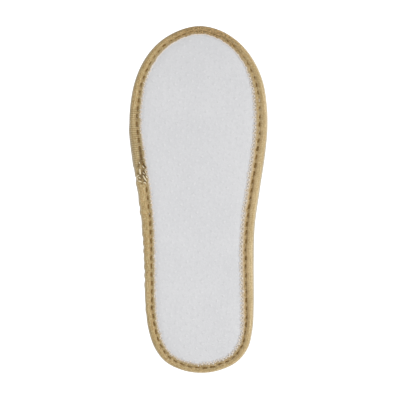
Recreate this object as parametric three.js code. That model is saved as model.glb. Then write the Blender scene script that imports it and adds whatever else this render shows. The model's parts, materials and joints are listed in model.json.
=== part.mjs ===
// A closed-toe guest slipper for the right foot: a flat sole edged all round with a folded tape,
// a soft pad on top of it, and a hollow cloth upper whose turned-out foot is held under the tape.
//
// Units are millimetres. The slipper is drawn standing on its sole, in its own frame:
//   +X  along, from the back of the heel (0) to the tip of the toe (LENGTH)
//   +Y  across, from the long axis towards the inner side of the foot
//   +Z  up, from the tread (0) towards the upper
// It is then laid on its inner side, so that the sole's edge and the upper both rest on Z = 0.

import * as THREE from "three";
import { mergeVertices } from "three/addons/utils/BufferGeometryUtils.js";

// Driving dimensions
const LENGTH = 285;
const HEEL_TIP = { across: 1, lip: 7.1 };
const TOE_TIP = { across: 0, lip: 6.4 };
const GAP = 0.3; // clearance between pieces that touch
const RING_STEPS = 112; // facets round the outline

const OUTSOLE = { thickness: 3.5, rebate: 0.9, edgeRound: 0.7, edgeDip: 0.25 };
const INSOLE = { thickness: 1.5, edgeRound: 0.4 };
const TAPE = {
  thickness: 0.9,
  wall: 1.6, // how far the tape's inner face lies from its outer edge
  seamToLip: 3.1, // from the sewn groove to the tape's inner edge
  lipRise: 0.2,
  grooveDip: 0.25,
  rollRise: 0.9, // how far the fat roll outside the groove stands out
  shoulder: 0.06, // where the roll turns into the side, as a share of the way to the groove
  shoulderDrop: 0.5,
};
// The fat roll, as shares of the way from the edge to the groove and of its rise
const TAPE_ROLL = [
  { across: 0.78, rise: 0.6 },
  { across: 0.5, rise: 1 },
  { across: 0.22, rise: 0.45 },
];
const TAPE_LAP = { from: 164, full: 168, fade: 192, to: 204, rise: 0.8 }; // doubled tape, outer side
const UPPER = {
  wall: 1.8,
  flangeWall: 1.6,
  flangeOuter: 2.2,
  throatSide: 137, // where the collar meets the sole
  throatCentre: 180, // where the collar crosses the instep
  fanStart: 240, // from here on, the ribs fan round the toe
  fanCentre: 228,
  hemWidth: 10,
  hemRise: 0.9,
  hemStep: 0.8,
  hemFoot: 0.12, // share of the height over which the hem grows out of the flange
  sweep: 1.4, // how late the collar sweeps forwards as it climbs
};
const UPPER_MESH = { sideRibs: 12, fanRibs: 26, heightSteps: 14 };
const FLANGE_LIFT = { full: 133, gone: 114 }; // the tape's top drops behind the upper
const SETTLE = { rounds: 60, damping: 0.5 };
const HALVINGS = 40; // when a station is looked up on the outline

// The sole at stations along the foot: its half widths, and how far the folded tape reaches in over it
const OUTLINE = [
  { along: 281.5, lateral: 16.8, medial: 16.3, lateralLip: 6.7, medialLip: 6.7 },
  { along: 272, lateral: 33.2, medial: 31.6, lateralLip: 7.2, medialLip: 7.3 },
  { along: 258, lateral: 45.3, medial: 43.4, lateralLip: 7.5, medialLip: 8.0 },
  { along: 240, lateral: 53.4, medial: 51.6, lateralLip: 7.6, medialLip: 8.6 },
  { along: 220, lateral: 57.3, medial: 55.0, lateralLip: 8.2, medialLip: 8.9 },
  { along: 200, lateral: 58.0, medial: 55.5, lateralLip: 8.9, medialLip: 9.5 },
  { along: 178, lateral: 55.7, medial: 53.4, lateralLip: 9.7, medialLip: 9.6 },
  { along: 150, lateral: 51.6, medial: 49.2, lateralLip: 10.0, medialLip: 9.6 },
  { along: 120, lateral: 47.9, medial: 45.1, lateralLip: 9.5, medialLip: 9.3 },
  { along: 90, lateral: 46.0, medial: 44.3, lateralLip: 8.3, medialLip: 9.2 },
  { along: 55, lateral: 44.9, medial: 44.3, lateralLip: 7.9, medialLip: 8.4 },
  { along: 35, lateral: 42.2, medial: 43.1, lateralLip: 7.8, medialLip: 7.9 },
  { along: 20, lateral: 36.9, medial: 39.2, lateralLip: 7.8, medialLip: 7.8 },
  { along: 9, lateral: 28.0, medial: 30.2, lateralLip: 7.5, medialLip: 7.5 },
  { along: 2.2, lateral: 14.0, medial: 16.0, lateralLip: 7.2, medialLip: 7.2 },
];

// The last under the upper: height of the crown over the flange, and how far the ridge lies to the inside
const CROWN = [
  { along: 285, height: 24, ridge: 1 },
  { along: 256, height: 33, ridge: 2 },
  { along: 228, height: 42, ridge: 3 },
  { along: 204, height: 50, ridge: 4.5 },
  { along: 180, height: 58, ridge: 6 },
  { along: 137, height: 70, ridge: 8 },
];

// How square each side of the last is, and how far it bellies out over the sole's edge
const SIDES = {
  medial: { fullness: 2.8, belly: 6.2 },
  toe: { fullness: 2.5, belly: 2.4 },
  lateral: { fullness: 2.5, belly: 4.6 },
};

// Levels above the tread
const PAD_BOTTOM = OUTSOLE.thickness + GAP;
const PAD_TOP = PAD_BOTTOM + INSOLE.thickness;
const FLANGE_BOTTOM = PAD_TOP + GAP;
const FLANGE_TOP = FLANGE_BOTTOM + UPPER.flangeWall;
const TAPE_FLOOR = OUTSOLE.rebate - GAP;
const CORE_INSET = TAPE.wall + GAP;
const UPPER_FROM_LIP = 2 * GAP;

const MATERIALS = {
  outsole: new THREE.MeshStandardMaterial({ color: 0xd9d9db, roughness: 0.85, metalness: 0 }),
  insole: new THREE.MeshStandardMaterial({ color: 0xeceae4, roughness: 0.95, metalness: 0 }),
  binding: new THREE.MeshStandardMaterial({ color: 0xb99a66, roughness: 0.8, metalness: 0 }),
  upper: new THREE.MeshStandardMaterial({ color: 0xefeeea, roughness: 0.95, metalness: 0 }),
};

// Value of one column of a table at a place along the foot, on a smooth curve through its rows
function smoothColumn(rows, column, along) {
  const sorted = [...rows].sort((a, b) => a.along - b.along);
  const slope = (i) => {
    const before = sorted[Math.max(0, i - 1)];
    const after = sorted[Math.min(sorted.length - 1, i + 1)];
    return (after[column] - before[column]) / (after.along - before.along);
  };
  const place = THREE.MathUtils.clamp(along, sorted[0].along, sorted.at(-1).along);
  const next = Math.max(1, sorted.findIndex((row) => row.along >= place));
  const a = sorted[next - 1];
  const b = sorted[next];
  const span = b.along - a.along;
  const t = (place - a.along) / span;
  const ease = t * t * (3 - 2 * t);
  const rise = t * (1 - t) * span * ((1 - t) * slope(next - 1) - t * slope(next));
  return a[column] + (b[column] - a[column]) * ease + rise;
}

// The outline as one closed curve: tip of the toe, inner side, heel, outer side
function soleOutline() {
  const toe = new THREE.Vector3(LENGTH, TOE_TIP.across, 0);
  const heel = new THREE.Vector3(0, HEEL_TIP.across, 0);
  const inner = OUTLINE.map((row) => new THREE.Vector3(row.along, row.medial, 0));
  const outer = OUTLINE.map((row) => new THREE.Vector3(row.along, -row.lateral, 0)).reverse();
  const curve = new THREE.CatmullRomCurve3([toe, ...inner, heel, ...outer], true, "centripetal");
  curve.arcLengthDivisions = 2000;
  return curve;
}

const outline = soleOutline();

const reach = [
  { along: 0, lateralLip: HEEL_TIP.lip, medialLip: HEEL_TIP.lip },
  ...OUTLINE,
  { along: LENGTH, lateralLip: TOE_TIP.lip, medialLip: TOE_TIP.lip },
];

// A place on the outline: its point, the direction that leads out of the sole, and the tape's reach
function edgeAt(share) {
  const point = outline.getPointAt(share);
  const tangent = outline.getTangentAt(share);
  const out = new THREE.Vector3(tangent.y, -tangent.x, 0).normalize();
  return { point, out, lip: smoothColumn(reach, point.y > 0 ? "medialLip" : "lateralLip", point.x) };
}

// The share of the outline's length at which one side passes a station along the foot
function shareAt(along, inner) {
  let low = inner ? 0 : 1;
  let high = 0.5;
  for (let i = 0; i < HALVINGS; i++) {
    const middle = (low + high) / 2;
    if (outline.getPointAt(middle).x > along) low = middle;
    else high = middle;
  }
  return (low + high) / 2;
}

const ring = Array.from({ length: RING_STEPS }, (_, i) => edgeAt(i / RING_STEPS));

function insetPoint(edge, inset, height) {
  return edge.point.clone().addScaledVector(edge.out, -inset).setZ(height);
}

// A closed mesh from triangles of points, with its faces turned outwards
function solidFrom(triangles) {
  const position = new Float32Array(triangles.flat().flatMap((p) => [p.x, p.y, p.z]));
  let geometry = new THREE.BufferGeometry();
  geometry.setAttribute("position", new THREE.BufferAttribute(position, 3));
  geometry = mergeVertices(geometry, 1e-3);
  const whole = [];
  for (let i = 0; i < geometry.index.count; i += 3) {
    const corners = [0, 1, 2].map((k) => geometry.index.getX(i + k));
    if (new Set(corners).size === 3) whole.push(...corners);
  }
  const at = (k) => new THREE.Vector3().fromBufferAttribute(geometry.attributes.position, k);
  let volume = 0;
  for (let i = 0; i < whole.length; i += 3) {
    volume += at(whole[i]).dot(at(whole[i + 1]).cross(at(whole[i + 2])));
  }
  geometry.setIndex(volume < 0 ? whole.reverse() : whole);
  geometry.computeVertexNormals();
  return geometry;
}

function quad(a, b, c, d) {
  return [
    [a, b, c],
    [a, c, d],
  ];
}

// Skin between two rows of points of the same length
function skin(rowA, rowB, closed) {
  const count = closed ? rowA.length : rowA.length - 1;
  const faces = [];
  for (let i = 0; i < count; i++) {
    const next = (i + 1) % rowA.length;
    faces.push(...quad(rowA[i], rowA[next], rowB[next], rowB[i]));
  }
  return faces;
}

// Flat face across a loop that runs down the inner side and back up the outer one
function ladderFace(loop, upwards) {
  const half = loop.length / 2;
  const faces = [];
  for (let i = 0; i < half; i++) {
    const inner = [loop[i], loop[i + 1]];
    const outer = [loop[(loop.length - i) % loop.length], loop[loop.length - i - 1]];
    const [a, b] = upwards ? [inner, outer] : [outer, inner];
    faces.push(...quad(a[0], a[1], b[1], b[0]));
  }
  return faces;
}

// A slab with the sole's outline: its edge profile runs from the underside to the top, with each inset
// counted from the outline, or from the tape's lip
function slab(profile) {
  const insetOf = (edge, row) => ("fromLip" in row ? edge.lip + row.fromLip : row.inset);
  const loops = profile.map((row) => ring.map((edge) => insetPoint(edge, insetOf(edge, row), row.height)));
  const faces = [...ladderFace(loops[0], false), ...ladderFace(loops.at(-1), true)];
  for (let i = 0; i + 1 < loops.length; i++) faces.push(...skin(loops[i], loops[i + 1], true));
  return solidFrom(faces);
}

// The sole is pressed thin under the folded tape, and stands out as the tread inside it
function outsole() {
  const top = OUTSOLE.thickness;
  return slab([
    { fromLip: GAP + OUTSOLE.edgeRound, height: 0 },
    { fromLip: GAP + OUTSOLE.edgeDip, height: OUTSOLE.edgeDip },
    { fromLip: GAP, height: OUTSOLE.rebate },
    { inset: CORE_INSET, height: OUTSOLE.rebate },
    { inset: CORE_INSET, height: top },
  ]);
}

function insole() {
  return slab([
    { inset: CORE_INSET, height: PAD_BOTTOM },
    { inset: CORE_INSET, height: PAD_TOP - INSOLE.edgeRound },
    { inset: CORE_INSET + INSOLE.edgeRound, height: PAD_TOP },
  ]);
}

// How much of the doubled tape there is at a place on the edge: it lies on the outer side only
function lapShare(edge) {
  if (edge.point.y > 0) return 0;
  const begins = THREE.MathUtils.smoothstep(edge.point.x, TAPE_LAP.from, TAPE_LAP.full);
  return begins * (1 - THREE.MathUtils.smoothstep(edge.point.x, TAPE_LAP.fade, TAPE_LAP.to));
}

// Section of the folded tape, as insets from the outline and heights: along the outside from the lip
// under the sole, round the rolled edge to the lip on top, and back along the inside
function tapeSection(edge) {
  const lifted = THREE.MathUtils.smoothstep(edge.point.x, FLANGE_LIFT.gone, FLANGE_LIFT.full);
  const ceiling = FLANGE_BOTTOM + lifted * (UPPER.flangeWall + GAP);
  const lap = TAPE_LAP.rise * lapShare(edge);
  const middle = (TAPE_FLOOR + ceiling) / 2;
  const { lip } = edge;
  const seam = lip - TAPE.seamToLip;
  const roll = TAPE_ROLL.map(({ across, rise }) => ({
    inset: seam * across,
    rise: TAPE.thickness + TAPE.rollRise * rise + lap / 2,
  }));
  const fold = [
    { inset: lip, rise: TAPE.thickness },
    { inset: (lip + seam) / 2, rise: TAPE.thickness + TAPE.lipRise },
    { inset: seam, rise: TAPE.thickness - TAPE.grooveDip },
    ...roll,
    { inset: seam * TAPE.shoulder - lap, rise: -TAPE.shoulderDrop },
  ];
  const under = fold.map(({ inset, rise }) => ({ inset, height: TAPE_FLOOR - rise }));
  const over = fold.map(({ inset, rise }) => ({ inset, height: ceiling + rise })).reverse();
  const inside = [
    { inset: lip, height: ceiling },
    { inset: TAPE.wall, height: ceiling },
    { inset: TAPE.wall, height: TAPE_FLOOR },
    { inset: lip, height: TAPE_FLOOR },
  ];
  return [...under, { inset: -lap, height: middle }, ...over, ...inside];
}

function binding() {
  const loops = ring.map((edge) => tapeSection(edge).map(({ inset, height }) => insetPoint(edge, inset, height)));
  const faces = loops.flatMap((loop, i) => skin(loop, loops[(i + 1) % loops.length], true));
  return solidFrom(faces);
}

// Shape of the last at a place on the edge, blended from its three sides by the way the edge faces
function sideShape(out, column) {
  const weights = {
    medial: Math.max(0, out.y) ** 2,
    toe: Math.max(0, out.x) ** 2,
    lateral: Math.max(0, -out.y) ** 2,
  };
  const total = weights.medial + weights.toe + weights.lateral;
  return Object.keys(weights).reduce((sum, side) => sum + (weights[side] * SIDES[side][column]) / total, 0);
}

// Ribs of the upper, from the inner end of the collar round the toe to its outer end. Each rises from
// the sole's edge to the ridge of the foot. On the sides they sweep towards the toe as they climb.
function upperRibs() {
  const { throatSide, throatCentre, fanStart, fanCentre, hemWidth, hemStep } = UPPER;
  const stations = Array.from(
    { length: UPPER_MESH.sideRibs },
    (_, i) => throatSide + hemWidth + hemStep
      + ((fanStart - throatSide - hemWidth - hemStep) * i) / (UPPER_MESH.sideRibs - 1),
  );
  stations.unshift(throatSide, throatSide + hemWidth / 2, throatSide + hemWidth);
  const sideRib = (along, inner) => {
    const swept = (fanStart - along) / (fanStart - throatSide);
    const crest = THREE.MathUtils.lerp(fanCentre, throatCentre, swept);
    return { edge: edgeAt(shareAt(along, inner)), crest, swept, hemmed: along <= throatSide + hemWidth };
  };
  const fanEnds = [shareAt(fanStart, true), shareAt(fanStart, false) - 1];
  const fan = Array.from({ length: UPPER_MESH.fanRibs - 1 }, (_, i) => {
    const share = THREE.MathUtils.lerp(fanEnds[0], fanEnds[1], (i + 1) / UPPER_MESH.fanRibs);
    return { edge: edgeAt((share + 1) % 1), crest: fanCentre, swept: 0, hemmed: false };
  });
  const innerSide = stations.map((along) => sideRib(along, true));
  const outerSide = stations.map((along) => sideRib(along, false)).reverse();
  return [...innerSide, ...fan, ...outerSide];
}

// Points of one rib on the outside of the upper, from the flange to the ridge
function ribPoints(rib) {
  const fullness = sideShape(rib.edge.out, "fullness");
  const belly = sideShape(rib.edge.out, "belly");
  const foot = insetPoint(rib.edge, rib.edge.lip + UPPER_FROM_LIP, FLANGE_TOP);
  const crest = new THREE.Vector3(rib.crest, smoothColumn(CROWN, "ridge", rib.crest), FLANGE_TOP);
  return Array.from({ length: UPPER_MESH.heightSteps + 1 }, (_, j) => {
    const turn = (Math.PI / 2) * (j / UPPER_MESH.heightSteps);
    const inwards = 1 - Math.max(0, Math.cos(turn)) ** (2 / fullness);
    const height = Math.sin(turn) ** (2 / fullness);
    const bellied = belly * (4 * height * (1 - height)) ** 2;
    const forwards = THREE.MathUtils.lerp(inwards, height ** UPPER.sweep, rib.swept);
    const point = foot.clone().lerp(crest, inwards).addScaledVector(rib.edge.out, bellied);
    point.x += (crest.x - foot.x) * (forwards - inwards);
    return point.setZ(FLANGE_TOP + smoothColumn(CROWN, "height", point.x) * height);
  });
}

// Outward direction at each point of the ribs' net
function netNormals(net) {
  const vertices = net.flat();
  const columns = net[0].length;
  const sheet = new THREE.BufferGeometry().setFromPoints(vertices);
  const index = [];
  for (let i = 0; i + 1 < net.length; i++) {
    for (let j = 0; j + 1 < columns; j++) {
      const a = i * columns + j;
      index.push(a, a + columns, a + columns + 1, a, a + columns + 1, a + 1);
    }
  }
  sheet.setIndex(index);
  const welded = mergeVertices(sheet, 1e-3);
  welded.computeVertexNormals();
  const place = new Map();
  for (let i = 0; i < welded.attributes.position.count; i++) {
    const p = new THREE.Vector3().fromBufferAttribute(welded.attributes.position, i);
    place.set(p.toArray().map((v) => v.toFixed(2)).join(), i);
  }
  return net.map((row) => row.map((p) => {
    const i = place.get(p.toArray().map((v) => Math.fround(v).toFixed(2)).join());
    return new THREE.Vector3().fromBufferAttribute(welded.attributes.normal, i);
  }));
}

// The upper is one wall: out along the flange, up the outside to the ridge and back down the inside
function upper() {
  const ribs = upperRibs();
  const net = ribs.map(ribPoints);
  const normals = netNormals(net);
  const lastStep = UPPER_MESH.heightSteps;
  const outside = net.map((row, i) => row.map((p, j) => {
    const grown = THREE.MathUtils.smoothstep(j / lastStep, 0, UPPER.hemFoot);
    return p.clone().addScaledVector(normals[i][j], ribs[i].hemmed ? UPPER.hemRise * grown : 0);
  }));
  const innerFoot = ({ edge }, height) => insetPoint(edge, edge.lip + UPPER_FROM_LIP + UPPER.wall, height);
  const inside = net.map((row, i) => row.map((p, j) => {
    if (j === 0) return innerFoot(ribs[i], FLANGE_TOP);
    return p.clone().addScaledVector(normals[i][j], -UPPER.wall);
  }));
  const flange = ribs.map(({ edge }) => [
    innerFoot({ edge }, FLANGE_BOTTOM),
    insetPoint(edge, UPPER.flangeOuter, FLANGE_BOTTOM),
    insetPoint(edge, UPPER.flangeOuter, FLANGE_TOP),
  ]);
  const sections = ribs.map((_, i) => [...[...inside[i]].reverse(), ...flange[i], ...outside[i]]);
  const faces = [];
  for (let i = 0; i + 1 < sections.length; i++) faces.push(...skin(sections[i], sections[i + 1], false));
  for (const [end, turned] of [[0, false], [ribs.length - 1, true]]) {
    const walls = skin(inside[end], outside[end], false);
    const [under, edgeUnder, edgeOver] = flange[end];
    walls.push([inside[end][0], outside[end][0], under], ...quad(outside[end][0], edgeOver, edgeUnder, under));
    faces.push(...(turned ? walls.map((t) => [...t].reverse()) : walls));
  }
  return solidFrom(faces);
}

function piece(name, geometry) {
  const mesh = new THREE.Mesh(geometry, MATERIALS[name]);
  mesh.name = name;
  return mesh;
}

// Lowest point of some vertices of a mesh in world space
function lowest(mesh, counts) {
  const at = new THREE.Vector3();
  let found = null;
  for (let i = 0; i < mesh.geometry.attributes.position.count; i++) {
    at.fromBufferAttribute(mesh.geometry.attributes.position, i);
    if (!counts(at)) continue;
    const placed = at.clone().applyMatrix4(mesh.matrixWorld);
    if (!found || placed.z < found.z) found = placed;
  }
  return found;
}

// Lays the slipper on its inner side: it turns about its length until the upper meets the floor, and
// dips at the heel until ball and heel of the sole's edge meet it too
function layOnSide(pieces) {
  const roll = new THREE.Group();
  const pitch = new THREE.Group();
  roll.add(...Object.values(pieces));
  pitch.add(roll);
  roll.rotation.x = -Math.PI / 2;
  const isBall = (p) => p.x > LENGTH / 2;
  const isHeel = (p) => p.x <= LENGTH / 2;
  for (let i = 0; i < SETTLE.rounds; i++) {
    pitch.updateMatrixWorld(true);
    const ball = lowest(pieces.binding, isBall);
    const heel = lowest(pieces.binding, isHeel);
    pitch.rotation.y -= Math.atan2(heel.z - ball.z, ball.x - heel.x);
    pitch.updateMatrixWorld(true);
    const edge = lowest(pieces.binding, isBall);
    const side = lowest(pieces.upper, () => true);
    roll.rotation.x -= Math.atan2(side.z - edge.z, side.y - edge.y) * SETTLE.damping;
  }
  pitch.updateMatrixWorld(true);
  const box = new THREE.Box3().setFromObject(pitch, true);
  const centre = box.getCenter(new THREE.Vector3());
  pitch.position.set(-centre.x, -centre.y, -box.min.z);
  return pitch;
}

const slipper = layOnSide({
  outsole: piece("outsole", outsole()),
  insole: piece("insole", insole()),
  binding: piece("binding", binding()),
  upper: piece("upper", upper()),
});

export default slipper;
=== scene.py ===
import json
import math

import bpy
import numpy as np
from mathutils import Matrix, Vector
from mathutils.bvhtree import BVHTree


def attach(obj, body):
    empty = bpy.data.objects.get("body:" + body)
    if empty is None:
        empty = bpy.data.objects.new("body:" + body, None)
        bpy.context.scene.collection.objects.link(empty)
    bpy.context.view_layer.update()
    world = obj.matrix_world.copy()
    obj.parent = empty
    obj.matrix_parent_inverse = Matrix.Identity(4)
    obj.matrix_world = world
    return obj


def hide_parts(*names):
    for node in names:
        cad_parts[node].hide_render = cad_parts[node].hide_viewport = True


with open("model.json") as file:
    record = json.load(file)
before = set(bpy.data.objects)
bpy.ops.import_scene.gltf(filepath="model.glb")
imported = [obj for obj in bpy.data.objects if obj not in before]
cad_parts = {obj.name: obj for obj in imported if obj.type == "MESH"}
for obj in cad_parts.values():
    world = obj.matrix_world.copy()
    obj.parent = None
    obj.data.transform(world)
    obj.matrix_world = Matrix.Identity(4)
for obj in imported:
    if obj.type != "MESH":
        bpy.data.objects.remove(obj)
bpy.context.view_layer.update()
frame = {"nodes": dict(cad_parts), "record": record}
mm = 0.001

# the slipper's frame, from the two places marked on its tread
marks = {mount["name"]: mount for mount in frame["record"]["mounts"]}
heelSpot = Vector(marks["tread_heel"]["pos_m"])
upDir = -Vector(marks["tread_heel"]["axis"]).normalized()
alongDir = (Vector(marks["tread_forefoot"]["pos_m"]) - heelSpot).normalized()
acrossDir = upDir.cross(alongDir)
axes = np.array([alongDir, acrossDir, upDir])


def getValues(items, key, size=3):
    values = np.empty(len(items) * size)
    items.foreach_get(key, values)
    return values.reshape(-1, size)


def getPoints(obj):
    return getValues(obj.data.vertices, "co")


def nodePoints(name):
    return getPoints(frame["nodes"][name])


heelEnd = ((nodePoints("binding") - np.array(heelSpot)) @ axes[0]).min()
origin = np.array(heelSpot + alongDir * heelEnd)


def toSlipper(points):
    return (points - origin) @ axes.T / mm


def toRow(points):
    return origin + np.asarray(points) * mm @ axes


def smoothStep(low, high, value):
    share = np.clip((value - low) / (high - low), 0, 1)
    return share * share * (3 - 2 * share)


# The sole's outline, read from the rim of the footbed solid: it runs from the toe down the inner side
rimMiddle = 150  # the rim is seen all round from this place on the long axis


def sortedRing(points):
    flat = np.unique(np.round(points[:, :2], 2), axis=0)
    turn = np.arctan2(flat[:, 1], flat[:, 0] - rimMiddle) % (2 * math.pi)
    flat = flat[np.argsort(turn)]
    return flat[:, 0] + 1j * flat[:, 1]


padPoints = toSlipper(nodePoints("insole"))
rim = sortedRing(padPoints[padPoints[:, 2] < padPoints[:, 2].min() + 0.05])
rimInset = rim.real.min()
rimWaves = np.fft.fftfreq(len(rim), 1 / len(rim))
rimSpectrum = np.fft.fft(rim) / len(rim)


def edgeAt(share, inset=0.0):
    turn = np.exp(2j * math.pi * np.outer(share, rimWaves))
    run = turn @ (rimSpectrum * 2j * math.pi * rimWaves)
    out = -1j * run / abs(run)
    return turn @ rimSpectrum + out * (rimInset - inset), out


# how far the tape reaches in over the sole, from the step that the outsole has beside it
solePoints = toSlipper(nodePoints("outsole"))
stepHeight = 0.9  # the step's points are picked at this height
lipGap = 0.3  # room between the tape and the step
lipSearch = {"aside": 0.5, "from": 4, "to": 14}
rimShares = np.arange(len(rim)) / len(rim)
rimEdge, rimOut = edgeAt(rimShares)
onStep = solePoints[abs(solePoints[:, 2] - stepHeight) < 0.05]
stepRing = np.unique(np.round(onStep[:, :2], 2), axis=0)
stepSpots = stepRing[:, 0] + 1j * stepRing[:, 1]
stepOffset = (rimEdge[:, None] - stepSpots[None]) * rimOut[:, None].conj()


def stepReach(offset):
    # mean reach of the step's points that lie straight in from one place of the rim
    near = (abs(offset.imag) < lipSearch["aside"]) & (offset.real > lipSearch["from"])
    return offset.real[near & (offset.real < lipSearch["to"])].mean()


rimLip = np.array([stepReach(offset) for offset in stepOffset]) - lipGap


def lipAt(share):
    return np.interp(share, np.append(rimShares, 1), np.append(rimLip, rimLip[0]))


denseEdge = edgeAt(np.arange(2000) / 2000)[0]
perimeter = abs(np.diff(np.append(denseEdge, denseEdge[0]))).sum()
print("outline read: perimeter", round(perimeter, 1), "tape reach", np.round([rimLip.min(), rimLip.max()], 2))


def wander(share, slowest, fastest, seed):
    # an even wavering along the edge, about one unit high
    draw = np.random.default_rng(seed)
    waves = np.arange(slowest, fastest + 1)
    lag = draw.uniform(0, 2 * math.pi, len(waves))
    size = draw.normal(0, 1, len(waves))
    line = np.cos(2 * math.pi * np.outer(share, waves) + lag) @ size
    return line / np.sqrt((size**2).sum() / 2)


# Working habits: link, select, enter and leave edit mode, move vertices
def newObject(name, data):
    obj = bpy.data.objects.new(name, data)
    bpy.context.scene.collection.objects.link(obj)
    return obj


def makeActive(obj):
    bpy.ops.object.select_all(action="DESELECT")
    obj.select_set(True)
    bpy.context.view_layer.objects.active = obj
    return obj


def startEdit(obj):
    makeActive(obj)
    bpy.ops.object.mode_set(mode="EDIT")
    bpy.ops.mesh.select_mode(type="FACE")


def endEdit():
    bpy.ops.object.mode_set(mode="OBJECT")


def setPoints(obj, points):
    obj.data.vertices.foreach_set("co", np.asarray(points, np.float32).ravel())
    obj.data.update()


def tidyMesh(obj, join=0.01):
    startEdit(obj)
    bpy.ops.mesh.select_all(action="SELECT")
    bpy.ops.mesh.remove_doubles(threshold=join * mm)
    bpy.ops.mesh.normals_make_consistent(inside=False)
    endEdit()
    makeActive(obj)
    bpy.ops.object.shade_smooth()


def copyNode(name, pieceName):
    node = frame["nodes"][name]
    piece = newObject(pieceName, node.data.copy())
    piece.data.materials.clear()
    startEdit(piece)
    bpy.ops.mesh.select_all(action="SELECT")
    bpy.ops.mesh.remove_doubles(threshold=0.005 * mm)
    bpy.ops.mesh.tris_convert_to_quads(face_threshold=math.radians(30), shape_threshold=math.radians(60))
    endEdit()
    bpy.ops.mesh.customdata_custom_splitnormals_clear()
    return piece


def applyModifier(obj, kind, **settings):
    makeActive(obj)
    modifier = obj.modifiers.new(kind.lower(), kind)
    for key, value in settings.items():
        setattr(modifier, key, value)
    bpy.ops.object.modifier_apply(modifier=modifier.name)


def finishPiece(piece, finish, stands=None):
    piece.data.materials.clear()
    piece.data.materials.append(finish)
    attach(piece, "root")
    if stands:
        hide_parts(stands)
    print(piece.name, "done,", sum(len(p.vertices) - 2 for p in piece.data.polygons), "triangles")
    return piece


def scatter(name, pattern, spots, turns):
    # copies of one small shape in one mesh: spots in millimetres, turns with the three axes as rows
    shape = getPoints(pattern)
    faces = [list(p.vertices) for p in pattern.data.polygons]
    points = toRow(spots[:, None, :] + np.einsum("vk,nkj->nvj", shape, turns))
    mesh = bpy.data.meshes.new(name)
    many = [[v + i * len(shape) for v in face] for i in range(len(spots)) for face in faces]
    mesh.from_pydata(points.reshape(-1, 3).tolist(), [], many)
    piece = newObject(name, mesh)
    bpy.data.objects.remove(pattern)
    tidyMesh(piece, join=0.0001)
    return piece


def flatTurns(run):
    # turns of copies that lie flat, their length along the given directions
    flat = np.zeros(len(run))
    side = run * 1j
    return np.stack([
        np.column_stack([run.real, run.imag, flat]),
        np.column_stack([side.real, side.imag, flat]),
        np.column_stack([flat, flat, flat + 1]),
    ], axis=1)


def bead(segments, rings, length, width, thickness):
    # a rounded bead about the origin, drawn in millimetres
    bpy.ops.object.select_all(action="DESELECT")
    bpy.ops.mesh.primitive_uv_sphere_add(segments=segments, ring_count=rings, radius=0.5)
    pattern = bpy.context.object
    bpy.ops.object.mode_set(mode="EDIT")
    bpy.ops.mesh.select_all(action="SELECT")
    bpy.ops.transform.resize(value=(length, width, thickness))
    endEdit()
    return pattern


def startCurve(name, radius, roundness):
    curve = bpy.data.curves.new(name, "CURVE")
    curve.dimensions = "3D"
    curve.bevel_depth = radius * mm
    curve.bevel_resolution = roundness
    return curve


def curvePiece(curve):
    makeActive(newObject(curve.name, curve))
    bpy.ops.object.convert(target="MESH")
    piece = bpy.context.object
    tidyMesh(piece, join=0.0001)
    return piece


# Shader maths
class Value:
    def __init__(self, finish, socket):
        self.finish = finish
        self.socket = socket

    def __add__(self, other):
        return self.finish.maths("ADD", self, other)

    def __sub__(self, other):
        return self.finish.maths("SUBTRACT", self, other)

    def __mul__(self, other):
        return self.finish.maths("MULTIPLY", self, other)

    def __rsub__(self, other):
        return self.finish.maths("SUBTRACT", other, self)

    __radd__ = __add__

    def __truediv__(self, other):
        return self.finish.maths("DIVIDE", self, other)

    def wave(self):
        return self.finish.maths("SINE", self * (2 * math.pi), 0)

    def between(self, low, high):
        settings = {"interpolation_type": "SMOOTHSTEP"}
        sockets = {"Value": self, "From Min": low, "From Max": high}
        return self.finish.node("ShaderNodeMapRange", settings, sockets)


class Finish:
    def __init__(self, name):
        self.material = bpy.data.materials.new(name)
        self.material.use_nodes = True
        self.tree = self.material.node_tree
        self.shader = self.tree.nodes["Principled BSDF"]

    def node(self, kind, settings=None, sockets=None, out=0):
        made = self.tree.nodes.new(kind)
        for key, value in (settings or {}).items():
            setattr(made, key, value)
        for key, value in (sockets or {}).items():
            self.feed(made.inputs[key], value)
        return Value(self, made.outputs[out])

    def ramp(self, value, stops):
        made = self.node("ShaderNodeValToRGB", sockets={"Fac": value})
        elements = made.socket.node.color_ramp.elements
        while len(elements) < len(stops):
            elements.new(1)
        for element, (place, colour) in zip(elements, stops):
            element.position = place
            element.color = (*colour, 1)
        return made

    def feed(self, socket, value):
        if isinstance(value, Value):
            self.tree.links.new(value.socket, socket)
        elif isinstance(value, tuple) and len(value) == 3 and socket.type == "RGBA":
            socket.default_value = (*value, 1)
        else:
            socket.default_value = value

    def maths(self, operation, a, b):
        return self.node("ShaderNodeMath", {"operation": operation}, {0: a, 1: b})

    def mix(self, share, a, b):
        return self.node("ShaderNodeMix", {"data_type": "RGBA"}, {0: share, 6: a, 7: b}, out=2)

    def place(self, kind="Object"):
        outputs = {"UV": 2, "Object": 3}
        return self.node("ShaderNodeTexCoord", out=outputs[kind])

    def split(self, vector):
        made = self.node("ShaderNodeSeparateXYZ", sockets={0: vector})
        return [Value(self, socket) for socket in made.socket.node.outputs]

    def join(self, x, y, z=0.0):
        return self.node("ShaderNodeCombineXYZ", sockets={0: x, 1: y, 2: z})

    def noise(self, vector, scale, detail=2.0, roughness=0.5):
        sockets = {"Vector": vector, "Scale": scale, "Detail": detail, "Roughness": roughness}
        return self.node("ShaderNodeTexNoise", sockets=sockets)

    def bump(self, height, distance, strength=1.0):
        sockets = {"Height": height, "Distance": distance, "Strength": strength}
        return self.node("ShaderNodeBump", sockets=sockets)

    def surface(self, **sockets):
        for key, value in sockets.items():
            self.feed(self.shader.inputs[key.replace("_", " ")], value)
        return self.material


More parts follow.
